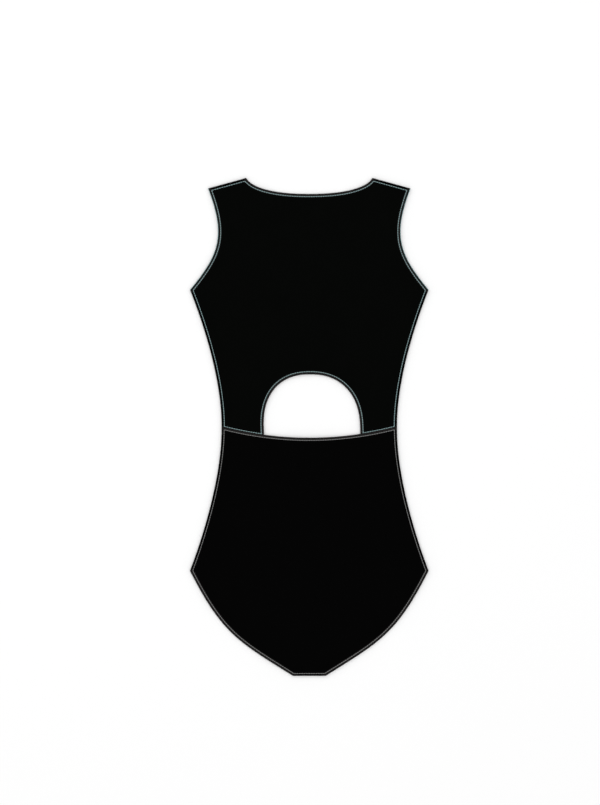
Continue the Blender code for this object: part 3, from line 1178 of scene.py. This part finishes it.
def one_stitch(tree, given):
    """A sphere laid along X, fuller towards its ends than a sphere is, and bent down there."""
    ball = add_node(tree, "GeometryNodeMeshUVSphere", {"Segments": SEGMENTS, "Rings": RINGS, "Radius": 0.5})
    twist = {"Geometry": ball["Mesh"], "Name": "twist", "Value": ball["UV Map"]}
    kept = add_node(tree, "GeometryNodeStoreNamedAttribute", twist, data_type="FLOAT2", domain="CORNER")[0]
    turn = {"Geometry": kept, "Rotation": (0.0, math.pi / 2, 0.0)}
    lying = add_node(tree, "GeometryNodeTransform", turn)[0]
    place = add_node(tree, "GeometryNodeInputPosition", {})[0]
    x, y, z = add_node(tree, "ShaderNodeSeparateXYZ", {"Vector": place})
    squared = maths(tree, "MULTIPLY", x, x)
    fuller = maths(tree, "MULTIPLY_ADD", squared, FULLER, 1.0)
    wide = maths(tree, "MULTIPLY", y, fuller)
    dipped = maths(tree, "MULTIPLY_ADD", squared, given["Dip"], maths(tree, "MULTIPLY", z, fuller))
    formed = add_node(tree, "ShaderNodeCombineXYZ", {"X": x, "Y": wide, "Z": dipped})[0]
    bent = add_node(tree, "GeometryNodeSetPosition", {"Geometry": lying, "Position": formed})[0]
    sizes = {"X": given["Stitch Length"], "Y": given["Thread Width"], "Z": given["Thread Height"]}
    size = add_node(tree, "ShaderNodeCombineXYZ", sizes)[0]
    return add_node(tree, "GeometryNodeTransform", {"Geometry": bent, "Scale": size})[0]


print("a stitch has", SEGMENTS * RINGS, "faces")

# %% [markdown]
# Every stitch is turned along its path. A seed makes no two quite alike. The tree realizes what it
# placed and gives it its thread, so that what comes out is a plain mesh.

# %% Turn the stitches and close the tree
# Random Value has its sockets once for each kind of number: these are a float's
FLOAT_LEAST, FLOAT_MOST, FLOAT_DRAWN = 2, 3, 1


def uneven_turn(tree, given):
    """Each stitch's turn: along its path, and a little to one side or the other."""
    tangent = add_node(tree, "GeometryNodeInputTangent", {})[0]
    along = add_node(tree, "FunctionNodeAlignRotationToVector", {"Vector": tangent}, axis="X")[0]
    least = maths(tree, "MULTIPLY", given["Unevenness"], -1.0)
    span = {FLOAT_LEAST: least, FLOAT_MOST: given["Unevenness"], "Seed": given["Seed"]}
    sway = add_node(tree, "FunctionNodeRandomValue", span, data_type="FLOAT")[FLOAT_DRAWN]
    about_z = add_node(tree, "ShaderNodeCombineXYZ", {"Z": sway})[0]
    turns = {"Rotation": along, "Rotate By": about_z}
    return add_node(tree, "FunctionNodeRotateRotation", turns, rotation_space="LOCAL")[0]


def sewing_tree():
    tree = bpy.data.node_groups.new("sewing", "GeometryNodeTree")
    for title, kind in SEWING_INPUTS.items():
        tree.interface.new_socket(title, in_out="INPUT", socket_type=f"NodeSocket{kind}")
    tree.interface.new_socket("Stitches", in_out="OUTPUT", socket_type="NodeSocketGeometry")
    given = add_node(tree, "NodeGroupInput", {})
    laid = {
        "Points": spaced_points(tree, given),
        "Instance": one_stitch(tree, given),
        "Rotation": uneven_turn(tree, given),
    }
    put = add_node(tree, "GeometryNodeInstanceOnPoints", laid)[0]
    real = add_node(tree, "GeometryNodeRealizeInstances", {"Geometry": put})[0]
    look = {"Geometry": real, "Material": given["Thread"]}
    dressed = add_node(tree, "GeometryNodeSetMaterial", look)[0]
    add_node(tree, "NodeGroupOutput", {"Stitches": dressed})
    return tree


SEWING = sewing_tree()
print("the sewing tree has", len(SEWING.nodes), "nodes")

# %% [markdown]
# To sew a line, its points become a mesh of edges, and the tree runs on it as a modifier. Inputs
# are set by their identifiers, which stay the same when a socket is renamed. The result is
# worked into a plain mesh, so the modifier is gone at the end.

# %% Sew one line
STITCH_LENGTH = 3.3
DIP = 1.0
UNEVENNESS = 0.05


def sewn(name, runs, heights, material, seed, from_below=False, width=THREAD_WIDTH):
    """Stitches along runs of points, as one plain mesh. Their ends bend into the cloth."""
    points = drawn_aside(np.vstack(runs))
    edges = []
    first = 0
    for run in runs:
        edges += [(first + i, first + i + 1) for i in range(len(run) - 1)]
        first += len(run)
    mesh = bpy.data.meshes.new(name)
    mesh.from_pydata(placed(points, heights).tolist(), edges, [])
    piece = in_scene(name, mesh)
    modifier = piece.modifiers.new("sewing", "NODES")
    modifier.node_group = SEWING
    values = {
        "Stitch Step": STITCH_STEP * MM,
        "Stitch Length": STITCH_LENGTH * MM,
        "Thread Width": width * MM,
        "Thread Height": THREAD_HEIGHT * MM,
        "Dip": DIP if from_below else -DIP,
        "Unevenness": UNEVENNESS,
        "Seed": seed,
        "Thread": material,
    }
    for item in SEWING.interface.items_tree:
        if item.item_type == "SOCKET" and item.name in values:
            modifier[item.identifier] = values[item.name]
    settled(piece)
    piece.data.shade_smooth()
    print(f"{name}: {len(piece.data.polygons)} faces")
    return piece


print("a stitch is", STITCH_LENGTH, "mm long")

# %% [markdown]
# Each panel has one row all the way round. On the back the thread lies on the upper face. On the
# front it lies on the table, with its ends bent up. A row could be painted on the cloth instead,
# but real thread catches the light and casts its own small shadow in a close view.

# %% Sew the panels
PROUD = 0.04


def sewn_outside(layer, name, runs, face, material, seed, width=THREAD_WIDTH):
    """Stitches on a layer's outer side: on the back's upper face, or under the front."""
    points = np.vstack(runs)
    on_top = layer == "back"
    heights = face(layer, points) + PROUD if on_top else np.full(len(points), THREAD_HEIGHT / 2)
    return sewn(f"{layer}_{name}_stitches", runs, heights, material, seed, not on_top, width)


STITCHES = {}
for seed, (layer_name, part) in enumerate(CLOTHS):
    runs = panel_runs(layer_name, part)
    row = sewn_outside(layer_name, part, runs, upper_face, THREADS[part], seed)
    STITCHES[layer_name, part] = row

# %% [markdown]
# The armholes' edge is sewn in the same way, with the finer teal thread. Its stitches lie at the
# height of the elastic's rounded rim, so that from above they reach a little past the black.

# %% Sew the armholes' edge
for seed, layer_name in enumerate(EDGES, start=len(CLOTHS)):
    STITCHES[layer_name, "bodice_edge"] = sewn_outside(
        layer_name,
        "armhole_edge",
        edge_runs(layer_name),
        rim_height,
        EDGE_THREAD,
        seed,
        width=EDGE_THREAD_WIDTH,
    )

# %% [markdown]
# A machine's stitches show on both sides of the cloth. Inside the back they can be seen, from
# below, only where the back reaches beyond the front, so just those parts are sewn: the middle of
# the neck, and the legs.

# %% Sew inside the back
INSIDE = (("bodice", "neck"), ("brief", "leg"))
SEEN_BEYOND_FRONT = 3.0
for seed, (part, edge_name) in enumerate(INSIDE, start=len(CLOTHS) + len(EDGES)):
    run = next(run for name, run in named_runs("back", part) if name == edge_name)
    seen = evenly(run, DENSE)
    seen = seen[beyond_front(seen) > SEEN_BEYOND_FRONT]
    seen_runs = [across_centre(seen)] if edge_name == "neck" else [seen, mirrored(seen)]
    run_points = np.vstack(seen_runs)
    STITCHES["back", f"{part}_inside"] = sewn(
        f"back_{part}_inside_stitches",
        seen_runs,
        underside("back", run_points) + THREAD_HEIGHT / 2 - STITCH_SHOWS["cloth"],
        THREADS[part],
        seed,
        from_below=True,
    )

# %% [markdown]
# Every piece is tied to the frame's one body, and each binding and panel hides the solid that it
# replaces. Nothing on a leotard turns or slides, so one body is enough.


# %% Tie the pieces to the frame
SEWN_TO = {"neck": "bodice", "arch": "bodice", "armhole": "bodice", "leg": "brief", "waist": "brief"}

for node, piece in BINDINGS.items():
    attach(piece, "root")
    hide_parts(node)

for (layer_name, part), piece in STITCHES.items():
    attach(piece, "root")

for (layer_name, part), piece in CLOTHS.items():
    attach(piece, "root")
    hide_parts(f"{layer_name}_{part}")

print("tied", len(BINDINGS) + len(STITCHES) + len(CLOTHS), "pieces")

# %% [markdown]
# For each panel, its ladder is laid out again, and the elastic and the stitches sewn to it are
# gathered with it.

for (layer_name, part), piece in CLOTHS.items():
    grid = GRIDS[part](layer_name)
    with_it = [STITCHES[key] for key in STITCHES if key[0] == layer_name and key[1].startswith(part)]
    for node, strip_piece in BINDINGS.items():
        words = node.split("_")
        if words[0] == layer_name and SEWN_TO[words[1]] == part:
            with_it.append(strip_piece)
